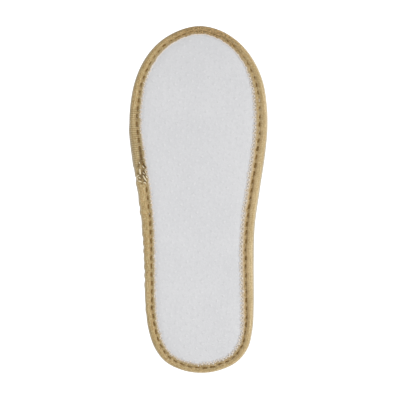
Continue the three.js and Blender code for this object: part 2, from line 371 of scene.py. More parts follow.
# Camera: square on to the tread, toe at the top, at the photograph's scale
cameraSetup = {"distance": 2.0, "frameWidth": 328.0, "sensor": 36.0, "along": 142.08, "across": 0.0}


def addCamera():
    setup = cameraSetup
    data = bpy.data.cameras.new("camera")
    data.sensor_width = setup["sensor"]
    data.lens = setup["sensor"] * setup["distance"] / (setup["frameWidth"] * mm)
    data.clip_end = 100
    camera = newObject("camera", data)
    target = Vector(toRow([setup["along"], setup["across"], 0]))
    turn = Matrix((acrossDir, alongDir, -upDir)).transposed().to_4x4()
    camera.matrix_world = Matrix.Translation(target - upDir * setup["distance"]) @ turn
    bpy.context.scene.camera = camera


addCamera()
print("camera set")

# Edge tape: folded over the sole's edge, sewn through in a groove, with its ends lapped on the outer side
tape = {
    "stations": 1080, "stepsPerRow": 2, "stitchPitch": 6.86, "seamToLip": 2.6, "wall": 1.6, "floor": 0.6,
    "lipMore": 0.3, "lipBack": 0.4, "lipRoom": 0.15, "lipInside": 0.1,
    "ceilingHeel": 5.6, "ceilingToe": 7.5, "liftFrom": 114, "liftTo": 133, "closedFrom": 248, "closedTo": 268,
    "seamWander": 0.18, "lipWander": 0.16, "rollWander": 0.1, "pucker": 0.45, "gather": 0.1,
}
stitchCount = round(perimeter / tape["stitchPitch"])
loopCount = 2 * stitchCount  # loops of the lip's selvedge
# the end that lies on top: its cut, how it fades towards the toe, how far it stands out on the side
tapeLap = {
    "cut": 160, "slant": 1.8, "step": 3, "fade": 198, "to": 206, "rise": 0.75,
    "sideInset": 4, "sideShare": 0.6,
}
tapeRibs = {"from": 168, "to": 214}  # where the cross ribs of the weave stand out, on the outer side
toeShare = {"from": 0.085}  # share of the edge on each side of the toe's tip where the tape is gathered
# where the seam runs nearer the lip (below 0) or the side (above 0): places along, and the shift
seamShift = {
    "outer": [(0, 0.35), (25, 0), (160, 0), (172, 0.22), (205, 0.22), (222, -0.5), (250, -0.5), (268, 0)],
    "inner": [
        (0, 0.35), (20, 0), (50, -0.15), (100, -0.05), (125, 0.4), (165, 0.4),
        (182, 0.5), (240, 0.5), (262, 0),
    ],
}
# how much further in the lip reaches
lipShift = {
    "outer": [(0, 0.25), (30, 0.4), (150, 0.55), (212, 0.55), (225, 0.95), (250, 0.85), (275, 0.3)],
    "inner": [(0, 0.2), (30, 0.6), (50, 1.35), (100, 1.35), (125, 1.0), (235, 1.0), (258, 0.35), (275, 0.3)],
}
# the roll lies slack on the outer side behind the lap
slackRoll = {"from": 30, "full": 60, "fade": 160, "to": 166, "flatten": 0.35, "waver": 0.16}
# half of the folded section, from the lip's edge to the middle of the side
lipRows = [
    {"fromLip": 0.0, "rise": 0.3},
    {"fromLip": 0.25, "rise": 0.8},
    {"fromLip": 0.8, "rise": 1.0},
    {"fromLip": 1.4, "rise": 1.12},
    {"fromLip": 2.0, "rise": 1.0},
]
rollRows = [
    {"share": 1.0, "rise": 0.6, "swell": 0.0, "pull": 1.0},
    {"share": 0.89, "rise": 0.85, "swell": 0.25, "pull": 0.6},
    {"share": 0.73, "rise": 0.9, "swell": 0.74, "pull": 0.25},
    {"share": 0.5, "rise": 0.9, "swell": 1.0, "pull": 0.0},
    {"share": 0.27, "rise": 0.9, "swell": 0.66, "pull": 0.0},
    {"share": 0.1, "rise": 0.8, "swell": 0.0, "pull": 0.0},
    {"share": 0.02, "rise": -0.6, "swell": 0.0, "pull": 0.0},
]
rollSwell = 1.25


def catmullRows(count, steps):
    # weights that carry a closed ring of rows to a smooth ring with so many steps for each row
    weights = np.zeros((count * steps, count))
    for i in range(count):
        for k in range(steps):
            t = k / steps
            parts = [-t + 2 * t**2 - t**3, 2 - 5 * t**2 + 3 * t**3, t + 4 * t**2 - 3 * t**3, -(t**2) + t**3]
            for offset, part in zip((-1, 0, 1, 2), parts):
                weights[i * steps + k, (i + offset) % count] += part / 2
    return weights


def sideValue(table, along, outer):
    # read off a table of places along, on the outer or the inner side
    values = [np.interp(along, *zip(*table[side])) for side in ("outer", "inner")]
    return np.where(outer, *values)


def tapeState(share):
    # what the tape does at each place along the edge
    edge, out = edgeAt(share)
    along, outer = edge.real, edge.imag < 0
    lip = lipAt(share) + tape["lipMore"]
    covered = smoothStep(tape["liftFrom"], tape["liftTo"], along)  # where it holds the upper's foot
    ceiling = tape["ceilingHeel"] + (tape["ceilingToe"] - tape["ceilingHeel"]) * covered
    lipTop = lip - tape["lipBack"] * covered
    slack = smoothStep(slackRoll["from"], slackRoll["full"], along)
    slack = slack * (1 - smoothStep(slackRoll["fade"], slackRoll["to"], along))
    seam = lip - tape["seamToLip"] - sideValue(seamShift, along, outer)
    lip = lip + sideValue(lipShift, along, outer) + tape["lipWander"] * wander(share, 40, 140, 11)
    return {
        "edge": edge, "out": out, "along": along, "lip": lip, "lipTop": lipTop, "covered": covered,
        "seam": seam + tape["seamWander"] * wander(share, 12, 60, 12),
        "ceiling": ceiling, "outer": outer, "slack": np.where(outer, slack, 0),
    }


def lapAt(state, inset):
    # the end that lies on top is cut on the slant and thins out towards the toe
    cut = tapeLap["cut"] + tapeLap["slant"] * inset
    lap = smoothStep(cut, cut + tapeLap["step"], state["along"])
    lap = lap - smoothStep(tapeLap["fade"], tapeLap["to"], state["along"])
    return np.where(state["outer"], tapeLap["rise"] * np.clip(lap, 0, 1), 0)


def tapeSection(share):
    state = tapeState(share)
    stitch = np.cos(2 * math.pi * share * stitchCount)
    stitch = 2 * smoothStep(-0.7, 0.3, stitch) - 1  # 1 along each stitch, -1 on the puff between two
    swell = rollSwell * (1 + tape["rollWander"] * wander(share, 15, 90, 13))
    swell = swell * (1 - slackRoll["flatten"] * state["slack"])
    waver = slackRoll["waver"] * state["slack"] * wander(share, 30, 110, 14)
    gather = tape["gather"] * wander(share, 150, 330, 15)
    # the seam lies nearly closed round the toe
    toe = smoothStep(tape["closedFrom"], tape["closedTo"], state["along"])
    bulge = tapeLap["sideShare"] * lapAt(state, tapeLap["sideInset"])
    lips = []
    for lip in (state["lip"], state["lipTop"]):
        fit = np.minimum(1, (lip - state["seam"] - tape["lipRoom"]) / lipRows[-1]["fromLip"])
        lips.append([(lip - fit * row["fromLip"], row["rise"] + gather * row["fromLip"]) for row in lipRows])
    rows = []
    for row in rollRows:
        inset = state["seam"] * row["share"] + waver * (row["share"] < 0.6)
        lap = lapAt(state, inset)
        rise = row["rise"] + swell * row["swell"] + lap * (0.2 < row["share"] < 0.9)
        rise = rise - tape["pucker"] * (stitch - 0.8 * toe) * (1 - 0.6 * toe) * row["pull"]
        inset = inset - bulge * (row["share"] < 0.2)
        rows.append((inset, rise))
    under = [(inset, tape["floor"] - rise) for inset, rise in lips[0] + rows]
    over = [(inset, state["ceiling"] + rise) for inset, rise in (lips[1] + rows)[::-1]]
    side = [(waver - bulge, (tape["floor"] + state["ceiling"]) / 2)]
    flat = np.zeros_like(share)
    inside = [
        (state["lipTop"] - tape["lipInside"], state["ceiling"]),
        (flat + tape["wall"], state["ceiling"] - 0.05),
        (flat + tape["wall"], flat + tape["floor"] + 0.05),
        (state["lip"] - tape["lipInside"], flat + tape["floor"]),
    ]
    return state, under + side + over + inside


def makeTape():
    stations = tape["stations"]
    rowCount = len(tapeSection(np.zeros(1))[1])
    around = rowCount * tape["stepsPerRow"]
    bpy.ops.object.select_all(action="DESELECT")
    bpy.ops.mesh.primitive_grid_add(x_subdivisions=stations, y_subdivisions=around, size=1)
    piece = bpy.context.object
    piece.name = "edgeTape"
    grid = getPoints(piece)[:, :2] + 0.5
    column = np.rint(grid[:, 0] * stations).astype(int) % stations
    row = np.rint(grid[:, 1] * around).astype(int) % around
    share = np.arange(stations) / stations
    state, rows = tapeSection(share)
    weights = catmullRows(rowCount, tape["stepsPerRow"])
    inset = np.array([r[0] for r in rows]).T @ weights.T
    height = np.array([r[1] for r in rows]).T @ weights.T
    spot = state["edge"][column] - state["out"][column] * inset[column, row]
    points = toRow(np.column_stack([spot.real, spot.imag, height[column, row]]))
    points[:, 2] = np.maximum(points[:, 2], 0)  # flattened where it lies on the floor
    setPoints(piece, points)
    tidyMesh(piece)
    return piece, rowCount


# painted shadow where the cut end parts, as lines and spots, along and across: the shadow of the lapped cut's
# step and of the groove beside it, and shade in the gaps under the loose yarns; the patch beneath is partly
# that shade and partly the cut end's own darker colour
frayShadowLines = [
    [(175.9, -48.5), (172.6, -49.4), (169.1, -50.7)],
    [(175.9, -48.5), (171.8, -47.0), (168.8, -44.6)],
    [(184.0, -49.4), (180.0, -48.8), (175.9, -48.5)],
    [(163.9, -47.0), (161.8, -47.4), (159.8, -47.8)],
]
frayShadowSpots = [(163.9, -50.9), (160.6, -44.2), (158.7, -49.1), (155.7, -47.9)]
frayShadePatch = {"middle": (162.5, -47.5), "reach": 6.5, "narrow": 1.6, "share": 0.75}
frayShadeMark = {"lineWidth": 1.0, "spotWidth": 1.1, "spotShare": 0.9, "highest": 2.5}


# marks the painted shadow at the tape's cut end on its points, kept to the sole side
def paintFrayShade(piece):
    points = toSlipper(getPoints(piece))
    flat = points[:, 0] + 1j * points[:, 1]
    frayShade = np.zeros(len(points))
    steps = np.linspace(0, 2, 25)
    for line in frayShadowLines:
        along, across = zip(*line)
        path = np.interp(steps, range(3), along) + 1j * np.interp(steps, range(3), across)
        away = abs(flat[:, None] - path).min(axis=1) / frayShadeMark["lineWidth"]
        frayShade = np.maximum(frayShade, np.exp(-(away**2)))
    for along, across in frayShadowSpots:
        away = abs(flat - along - 1j * across) / frayShadeMark["spotWidth"]
        frayShade = np.maximum(frayShade, frayShadeMark["spotShare"] * np.exp(-(away**2)))
    away = flat - complex(*frayShadePatch["middle"])
    away = (away.real + 1j * away.imag * frayShadePatch["narrow"]) / frayShadePatch["reach"]
    frayShade = np.maximum(frayShade, frayShadePatch["share"] * np.exp(-abs(away) ** 4))
    layer = piece.data.attributes.new("frayShade", "FLOAT", "POINT")
    layer.data.foreach_set("value", np.where(points[:, 2] < frayShadeMark["highest"], frayShade, 0).astype(np.float32))


def shareAt(side, along):
    # the share of the edge at a place along the foot, on the outer or the inner side
    share = np.arange(4000) / 4000
    edge = edgeAt(share)[0]
    there = (edge.imag < 0) == (side == "outer")
    return share[there][abs(edge.real[there] - along).argmin()]


# how much painted shade lies in the groove, and how much paler the cloth is painted, as painted light, on the
# inner side that faces the shining floor, round the edge: side, place along, share
grooveShade = [
    ("inner", 284, 0.1), ("inner", 255, 0.2), ("inner", 225, 0.05), ("inner", 180, 0.25),
    ("inner", 160, 0.65), ("inner", 40, 0.65), ("inner", 0, 0.3), ("outer", 40, 0.5),
    ("outer", 150, 0.5), ("outer", 172, 0.65), ("outer", 212, 0.65), ("outer", 230, 0.6),
    ("outer", 262, 0.25),
]
litSidePale = [
    ("inner", 284, 0.0), ("inner", 255, 0.2), ("inner", 215, 0.5), ("inner", 180, 1.0), ("inner", 40, 1.0),
    ("inner", 12, 0.2), ("outer", 12, 0.0), ("outer", 262, 0.0),
]


def roundEdge(finish, u, places):
    return finish.ramp(u, sorted((shareAt(side, along), (level,) * 3) for side, along, level in places))


def tapeCloth(rowCount):
    finish = Finish("tapeCloth")
    u, v, _ = finish.split(finish.place("UV"))
    row = v * rowCount
    run = u * perimeter
    # 0 on the side, 7 in the groove, 12 at the lip
    fold = finish.maths("ABSOLUTE", row - len(lipRows + rollRows), 0)
    streak = finish.noise(finish.join(run * 0.16, row * 2.2), 1.0, 3.0, 0.6)
    grain = finish.noise(finish.join(run * 0.75, row * 1.3, 5.0), 1.0, 2.0, 0.6)
    fine = finish.noise(finish.join(run * 3.2, row * 5.0, 2.0), 1.0, 2.0, 0.6)
    speck = finish.noise(finish.join(run * 0.55, row * 0.9, 12.0), 1.0, 2.0, 0.6)
    patch = finish.noise(finish.join(run * 0.035, row * 0.12, 3.0), 1.0, 2.0)
    weave = streak * 0.45 + grain * 0.4 + fine * 0.15
    # mixed yarns: brown, orange, tan, olive, straw
    yarns = finish.ramp(speck, [
        (0.3, (0.27, 0.16, 0.055)), (0.42, (0.5, 0.31, 0.13)), (0.5, (0.5, 0.37, 0.18)),
        (0.58, (0.44, 0.37, 0.18)), (0.7, (0.68, 0.54, 0.29)),
    ])
    # the inner side faces the shining floor: this mask paints its cloth paler, as painted light, and also
    # steers the other marks there
    litSide = roundEdge(finish, u, litSidePale)
    tan = finish.mix(patch.between(0.42, 0.62), (0.51, 0.36, 0.17), (0.49, 0.385, 0.185))
    tan = finish.mix(0.75 - litSide * 0.2, tan, yarns)
    tan = finish.mix((1 - weave.between(0.4, 0.52)) * 0.66, tan, (0.26, 0.165, 0.055))
    tan = finish.mix(weave.between(0.5, 0.62) * 0.66, tan, (0.72, 0.575, 0.335))
    # painted light: a paler tan on the lit inner side
    tan = finish.mix(litSide * 0.46, tan, (0.74, 0.61, 0.38))
    tan = finish.mix(grain.between(0.55, 0.43) * litSide * 0.34, tan, (0.38, 0.26, 0.1))
    # long threads: painted highlights where they catch the light, stronger on the lit inner side, and darker
    # threads between
    glintThread = finish.noise(finish.join(run * 0.02, row * 2.4, 7.0), 1.0, 2.0)
    tan = finish.mix(glintThread.between(0.54, 0.66) * (0.35 + litSide * 0.25), tan, (0.8, 0.67, 0.42))
    tan = finish.mix(glintThread.between(0.46, 0.34) * (0.35 + litSide * 0.25), tan, (0.4, 0.26, 0.1))
    # cross ribs, strongest along one stretch of the outer side
    start, end = shareAt("outer", tapeRibs["from"]), shareAt("outer", tapeRibs["to"])
    stretch = u.between(start - 0.005, start + 0.005) * u.between(end + 0.01, end)
    rib = (run / 1.78 + grain * 0.3).wave() * 0.5 + 0.5
    ribbed = patch.between(0.46, 0.64) * 0.5 + stretch
    tan = finish.mix((1 - rib) * ribbed * 0.42, tan, (0.26, 0.17, 0.062))
    tan = finish.mix(rib * stretch * 0.3, tan, (0.68, 0.55, 0.32))
    # greyer on the side, dull then pinkish pale on the lip, painted shade in the groove
    toe = u.between(toeShare["from"], 0.01) + u.between(1 - toeShare["from"], 0.99)
    heelTip = shareAt("inner", 0)
    heel = u.between(heelTip - 0.08, heelTip - 0.03) * u.between(heelTip + 0.08, heelTip + 0.03)
    tan = finish.mix(fold.between(3.6, 5.0) * litSide * 0.3, tan, (0.5, 0.3, 0.11))
    greyer = finish.mix(litSide, (0.7, 0.63, 0.5), (0.42, 0.395, 0.34))
    tan = finish.mix(fold.between(3.1, 1.6) * (0.65 - toe * 0.4 + litSide * 0.1), tan, greyer)
    dull = finish.mix(litSide, (0.43, 0.345, 0.2), (0.68, 0.585, 0.46))
    tan = finish.mix((fold + litSide * 0.5).between(8.0, 9.2) * (0.65 - toe * 0.5 + litSide * 0.2), tan, dull)
    specks = fold.between(8.6, 10.0) * speck.between(0.5, 0.62) * (0.5 - toe * 0.4)
    tan = finish.mix(specks, tan, (0.37, 0.33, 0.27))
    loop = (u * loopCount).wave() * 0.5 + 0.5
    fringe = loop * (0.65 - toe * 0.5) + toe * 0.5 + heel * 0.3 + 0.3
    fringe = fringe * (fold + grain - 0.5).between(9.7, 11.0) * (1 - litSide * 0.7)
    tan = finish.mix(fringe, tan, (0.72, 0.62, 0.54))
    shade = fold.between(9.0, 10.2) * litSide * (grain.between(0.58, 0.46) * 0.45 + 0.05)
    tan = finish.mix(shade, tan, (0.4, 0.36, 0.3))
    # painted shade in the groove's recess: dark brown dashes where the stitches sink in, more even on the lit
    # inner side
    ragged = fold + (grain - 0.5) * 1.8
    groove = ragged.between(5.2, 6.6) * (ragged + litSide * 0.5).between(8.4, 7.3)
    beat = (u * stitchCount + 0.25).wave().between(-0.6, 0.5)
    beat = finish.maths("MAXIMUM", beat * 0.5 + 0.5, litSide * 0.75)
    tan = finish.mix(groove * beat * roundEdge(finish, u, grooveShade), tan, (0.17, 0.092, 0.024))
    # round the toe, dark flecks and an overall darkening that are partly the yarns' mottling and partly
    # painted shade for the dimmer light there, with orange flecks; weaker dark flecks and straw at the heel
    fleck = finish.noise(finish.join(run * 0.5, row * 0.85, 21.0), 1.0, 4.0, 0.7)
    tan = finish.mix(toe * (fleck.between(0.46, 0.6) * 0.66 + 0.08), tan, (0.15, 0.082, 0.025))
    tan = finish.mix(heel * fleck.between(0.5, 0.62) * 0.4, tan, (0.2, 0.115, 0.04))
    straw = heel * fold.between(8.5, 7.0) * fleck.between(0.48, 0.38) * 0.4
    tan = finish.mix(straw, tan, (0.74, 0.56, 0.32))
    tan = finish.mix(toe * fleck.between(0.52, 0.4) * 0.62, tan, (0.6, 0.35, 0.14))
    # painted shadow and shade at the cut end, from the attribute marked on the tape's points
    frayShade = finish.node("ShaderNodeAttribute", {"attribute_name": "frayShade"}, out=2)
    tan = finish.mix(frayShade * (grain.between(0.3, 0.6) * 0.6 + 0.5), tan, (0.13, 0.078, 0.026))
    relief = weave * 0.9 + rib * ribbed * 0.6
    return finish.surface(
        Base_Color=tan, Roughness=0.85, Sheen_Weight=0.2, Sheen_Roughness=0.5, Specular_IOR_Level=0.2,
        Normal=finish.bump(relief, 0.6 * mm, 0.8))


edgeTape, tapeRows = makeTape()
paintFrayShade(edgeTape)
finishPiece(edgeTape, tapeCloth(tapeRows), "binding")

# Seam: one lock stitch after another in the groove, on the sole and on top
seamThread = {
    "length": 4.4, "width": 1.25, "thickness": 0.95, "slant": 13, "proud": 0.26,
    "uneven": 0.22, "stray": 0.06,
}
# where the stitches lie deeper: they sink from one place along to another, by so much
seamSunk = {"both": [(198, 216, 0.3), (244, 262, -0.2)], "inner": [(170, 200, 0.14)]}


def sunkAt(along, side):
    return sum(depth * smoothStep(start, end, along) for start, end, depth in seamSunk[side])


def faceLevel(state, facing):
    # the level that the tape's lip and roll rise from, on the sole or on top
    return np.full(len(state["along"]), tape["floor"]) if facing < 0 else state["ceiling"]


def makeSeam():
    draw = np.random.default_rng(21)
    groove = rollRows[0]["rise"] - tape["pucker"]
    count = stitchCount
    spots, turns = [], []
    for facing in (-1, 1):
        share = (np.arange(count) + draw.normal(0, seamThread["stray"], count)) / count
        state = tapeState(share)
        uneven = draw.normal(0, seamThread["uneven"], (4, count))
        spot = state["edge"] - state["out"] * (state["seam"] + 0.5 * uneven[0])
        slant = np.radians(-facing * seamThread["slant"] * (1 + 2 * uneven[1]))
        lean = state["out"] * 1j * np.exp(1j * slant)
        sunk = sunkAt(state["along"], "both")
        sunk = sunk + np.where(state["outer"], 0, sunkAt(state["along"], "inner"))
        rise = groove + seamThread["proud"] + 0.7 * uneven[2] - sunk
        level = faceLevel(state, facing) + facing * rise
        spots.append(np.column_stack([spot.real, spot.imag, level]))
        turns.append(flatTurns(lean) * (1 + uneven[3])[:, None, None])
    pattern = bead(10, 8, seamThread["length"], seamThread["width"], seamThread["thickness"])
    return scatter("seamStitches", pattern, np.concatenate(spots), np.concatenate(turns))


def threadFinish(name, light, deep, sheen=0.15):
    finish = Finish(name)
    strand = finish.noise(finish.place(), 1800.0, 2.0)
    colour = finish.mix(strand.between(0.3, 0.7), deep, light)
    return finish.surface(Base_Color=colour, Roughness=0.7, Sheen_Weight=sheen, Specular_IOR_Level=0.2)


brownThread = threadFinish("brownThread", (0.3, 0.185, 0.06), (0.16, 0.088, 0.024), sheen=0.0)
finishPiece(makeSeam(), brownThread)

# Frayed yarns at the tape's cut end, laid across one another: places along and across
joinYarn = {"radius": 0.46, "lift": 0.25, "stand": 0.8, "castFrom": -8, "elsewhere": 0.2}
joinYarns = [
    # thickness, then three places
    (1.35, [(167.7, -49.4), (165.4, -49.3), (163.2, -49.0)]),
    (0.9, [(160.9, -52.2), (161.7, -51.2), (162.4, -50.1)]),
    (0.9, [(160.6, -50.4), (160.2, -49.5), (159.8, -48.6)]),
    (1.0, [(157.7, -50.7), (157.4, -49.3), (156.8, -47.9)]),
    (1.25, [(162.4, -46.8), (160.0, -45.5), (157.6, -43.8)]),
    (0.9, [(161.9, -44.3), (161.0, -43.8), (160.2, -43.5)]),
    (1.2, [(156.1, -46.3), (156.4, -45.3), (155.4, -44.5)]),
    (1.0, [(170.3, -47.2), (169.1, -46.6), (168.5, -45.8)]),
    (0.8, [(173.1, -50.1), (172.5, -49.7), (171.7, -49.5)]),
    (0.7, [(164.9, -46.9), (164.0, -46.2), (163.2, -45.0)]),
    (0.75, [(161.0, -51.9), (159.6, -51.6), (158.2, -51.0)]),
    (0.8, [(166.4, -45.2), (165.2, -44.8), (164.2, -44.3)]),
]


def makeJoinYarns():
    surface = BVHTree.FromObject(edgeTape, bpy.context.evaluated_depsgraph_get())
    curve = startCurve("joinYarns", joinYarn["radius"], 2)
    curve.use_fill_caps = True
    for number, (thickness, path) in enumerate(joinYarns):
        path = np.array(path)
        places = np.linspace(0, 2, 9)
        bow = np.array([(p - 1) * (p - 2) / 2 * path[0] + p * (2 - p) * path[1] + p * (p - 1) / 2 * path[2]
                        for p in places])
        spline = curve.splines.new("POLY")
        spline.points.add(len(places) - 1)
        for point, place, (along, across) in zip(spline.points, places, bow):
            start = Vector(toRow([along, across, joinYarn["castFrom"]]))
            hit = surface.ray_cast(start, upDir)[0]
            hit = hit or Vector(toRow([along, across, joinYarn["elsewhere"]]))
            over = joinYarn["lift"] * (number % 2) * place * (2 - place)
            point.co = (*(hit - upDir * (joinYarn["stand"] * joinYarn["radius"] + over) * mm), 1)
            point.radius = thickness * (0.75 + 0.3 * place * (2 - place))
    return curvePiece(curve)


finishPiece(makeJoinYarns(), threadFinish("creamYarn", (0.9, 0.82, 0.62), (0.68, 0.54, 0.32)))

# Sole cloth: drawn taut over foam, swelling a little away from the tape
sole = {
    "facing": -1,
    "insets": [(0.5, -0.12), (0.8, 0.3), (1.3, 0.24), (2.2, 0.14), (3.6, 0.08), (5.5, 0.02), (1.5, 0.0)],
}


def puffed(name, pieceName, settings):
    # a copy of a flat solid whose open face is made one face again and inset in soft steps
    piece = copyNode(name, pieceName)
    facing = settings["facing"]
    levels = toSlipper(getPoints(piece))[:, 2]
    level = levels.min() if facing < 0 else levels.max()
    startEdit(piece)
    bpy.ops.mesh.select_all(action="DESELECT")
    endEdit()
    for face in piece.data.polygons:
        onLevel = [abs(levels[v] - level) < 0.02 for v in face.vertices]
        face.select = all(onLevel)
    bpy.ops.object.mode_set(mode="EDIT")
    bpy.ops.mesh.dissolve_faces()
    for width, rise in settings["insets"]:
        bpy.ops.mesh.inset(thickness=width * mm, depth=rise * mm, use_even_offset=True)
    endEdit()
    tidyMesh(piece, join=0.002)
    bpy.ops.object.shade_smooth_by_angle(angle=math.radians(50))
    return piece


def swellAt(distance, settings):
    # height of the swollen face at a distance from its edge
    widths = np.cumsum([0] + [width for width, rise in settings["insets"]])
    rises = np.cumsum([0] + [rise for width, rise in settings["insets"]])
    return np.interp(distance, widths, rises)


def soleClothFinish():
    finish = Finish("soleCloth")
    place = finish.place()
    felt = finish.noise(place, 900.0, 4.0, 0.65)
    cloud = finish.noise(place, 22.0, 2.0)
    fibre = finish.noise(place, 2600.0, 2.0)
    tone = finish.mix(cloud.between(0.3, 0.7), (0.675, 0.678, 0.694), (0.712, 0.714, 0.727))
    tone = finish.mix(felt.between(0.3, 0.75) * 0.5, tone, (0.765, 0.765, 0.775))
    tone = finish.mix(finish.noise(place, 380.0, 1.0).between(0.35, 0.7) * 0.3, tone, (0.63, 0.633, 0.648))
    return finish.surface(
        Base_Color=tone, Roughness=0.9, Sheen_Weight=0.2, Specular_IOR_Level=0.2,
        Normal=finish.bump(felt + fibre * 0.4, 0.25 * mm, 0.5))


soleCloth = puffed("outsole", "soleCloth", sole)
finishPiece(soleCloth, soleClothFinish(), "outsole")

# Grip dots: small raised domes on a square lattice turned against the foot's axis
dots = {
    "size": 2.3, "height": 0.18, "stepA": (-5.25, 4.1), "stepB": (3.94, 4.92), "start": (139.9, 7.4),
    "margin": 1.4, "setIn": 1.0, "field": (286, 60),
}


def makeDots():
    count = np.arange(-60, 61)
    a, b = np.meshgrid(count, count)
    flat = np.column_stack([
        dots["start"][k] + a.ravel() * dots["stepA"][k] + b.ravel() * dots["stepB"][k] for k in (0, 1)])
    length, halfWidth = dots["field"]
    flat = flat[(abs(flat[:, 1]) < halfWidth) & (flat[:, 0] > 0) & (flat[:, 0] < length)]
    share = np.arange(720) / 720
    edge, out = edgeAt(share)
    ring = edge - out * lipAt(share)
    spots = flat[:, 0] + 1j * flat[:, 1]
    nearest = abs(spots[:, None] - ring[None]).argmin(axis=1)
    inside = ((ring[nearest] - spots) * out[nearest].conj()).real
    clear = inside > dots["margin"]
    flat = flat[clear]
    level = -swellAt(inside[clear] - dots["setIn"], sole)
    pattern = bead(10, 6, dots["size"], dots["size"], dots["height"])
    turns = np.repeat(np.eye(3)[None], len(flat), axis=0)
    return scatter("gripDots", pattern, np.column_stack([flat, level]), turns)


def dotFinish():
    finish = Finish("gripDot")
    grain = finish.noise(finish.place(), 1500.0, 2.0)
    tone = finish.mix(grain.between(0.3, 0.7), (0.7, 0.702, 0.715), (0.73, 0.731, 0.743))
    return finish.surface(Base_Color=tone, Roughness=0.75, Specular_IOR_Level=0.25)


finishPiece(makeDots(), dotFinish())

# Selvedge: a pale yarn that runs in loops along the edge of the tape's lip, on the sole and on top
selvedge = {
    "radius": 0.42, "swing": 0.88, "uneven": 0.28, "stray": 0.45, "steps": 12, "pad": 0.45,
    "outInner": 0.15, "outOuter": -0.1, "proudInner": 0.24, "proudOuter": -0.34,
    "neatFrom": 240, "neatTo": 262, "neatBack": 0.15, "neatShare": 0.8,  # neater round the toe
    "besideUpper": 0.95, "calmBesideUpper": 0.6,
}


def lipRise(fromLip):
    # height of the lip's surface over the tape's floor or ceiling, 0 beyond its edge
    rise = np.interp(fromLip, [row["fromLip"] for row in lipRows], [row["rise"] for row in lipRows])
    return np.where(fromLip > 0, rise, 0)


def neatToe(state):
    return smoothStep(selvedge["neatFrom"], selvedge["neatTo"], state["along"])


def makeSelvedge():
    curve = startCurve("tapeSelvedge", selvedge["radius"], 1)
    count = loopCount * selvedge["steps"]
    share = np.arange(count) / count
    state = tapeState(share)
    toe = neatToe(state)
    inner = np.where(state["outer"], toe, 1)
    out = selvedge["outOuter"] + inner * (selvedge["outInner"] - selvedge["outOuter"])
    out = out - selvedge["neatBack"] * toe
    proud = selvedge["proudOuter"] + inner * (selvedge["proudInner"] - selvedge["proudOuter"])
    free = 1 - selvedge["neatShare"] * toe
    swing = selvedge["swing"] * (1 + free * selvedge["uneven"] * wander(share, 60, 200, 31)) * free
    phase = 2 * math.pi * share * loopCount + free * selvedge["stray"] * wander(share, 90, 200, 37)
    wave = swing * np.sin(phase)
    under = state["lip"] + out + wave
    rise = lipRise(state["lip"] - under)
    swell = swellAt(under - lipAt(share) - lipGap, sole)
    below = np.minimum(np.where(rise > 0, tape["floor"] - rise, 1), -swell) - proud
    # on top it keeps to the lip where the upper stands
    wave = wave * (1 - selvedge["calmBesideUpper"] * state["covered"])
    over = state["lipTop"] - selvedge["besideUpper"] * state["covered"] + wave
    rise = lipRise(state["lipTop"] - over)
    above = state["ceiling"] + np.maximum(rise, selvedge["pad"]) + selvedge["proudInner"]
    for reach, level in ((under, below), (over, above)):
        spot = state["edge"] - state["out"] * reach
        spline = curve.splines.new("POLY")
        spline.use_cyclic_u = True
        spline.points.add(count - 1)
        points = toRow(np.column_stack([spot.real, spot.imag, level]))
        spline.points.foreach_set("co", np.column_stack([points, np.ones(count)]).ravel())
    return curvePiece(curve)


finishPiece(makeSelvedge(), threadFinish("paleThread", (0.9, 0.835, 0.755), (0.72, 0.64, 0.55)))

# Loose fibres along the lip's edge
lipFuzz = {
    "count": 2600, "length": (0.6, 1.7), "width": 0.11, "shorterAtToe": 0.55, "behindEdge": (-0.1, 0.5),
    "stray": 0.7, "lift": (0.0, 0.6), "level": (0.3, 0.9), "coveredLess": 0.1,
}


def fibre():
    # one fibre of unit size, standing on the origin
    bpy.ops.object.select_all(action="DESELECT")
    bpy.ops.mesh.primitive_cone_add(vertices=3, radius1=0.5, depth=1, location=(0, 0, 0.5))
    bpy.ops.object.transform_apply(location=True)
    return bpy.context.object


def makeFuzz():
    draw = np.random.default_rng(41)
    count = lipFuzz["count"]
    spots, turns = [], []
    for facing in (-1, 1):
        share = draw.uniform(0, 1, count)
        state = tapeState(share)
        lip = state["lip"] if facing < 0 else state["lipTop"]
        spot = state["edge"] - state["out"] * (lip - draw.uniform(*lipFuzz["behindEdge"], count))
        way = -state["out"] * np.exp(1j * draw.normal(0, lipFuzz["stray"], count))
        lift = facing * draw.uniform(*lipFuzz["lift"], count)
        length = draw.uniform(*lipFuzz["length"], count) * (1 - lipFuzz["shorterAtToe"] * neatToe(state))
        turn = flatTurns(way * 1j)
        tip = np.column_stack([way.real, way.imag, lift]) / np.sqrt(1 + lift**2)[:, None]
        width = lipFuzz["width"]
        side = np.cross(turn[:, 0], tip)
        free = (facing < 0) | (state["covered"] < lipFuzz["coveredLess"])  # none against the upper
        turns.append(np.stack([turn[:, 0] * width, side * width, tip * length[:, None]], axis=1)[free])
        level = faceLevel(state, facing) + facing * draw.uniform(*lipFuzz["level"], count)
        spots.append(np.column_stack([spot.real, spot.imag, level])[free])
    return scatter("lipFuzz", fibre(), np.concatenate(spots), np.concatenate(turns))


finishPiece(makeFuzz(), threadFinish("fuzz", (0.66, 0.55, 0.43), (0.55, 0.43, 0.3)))

# Footbed: the same white cloth over a thin pad
footbed = {"facing": 1, "insets": [(0.8, 0.1), (1.5, 0.2), (2.5, 0.14), (4.0, 0.08), (5.5, 0.03), (1.5, 0.0)]}


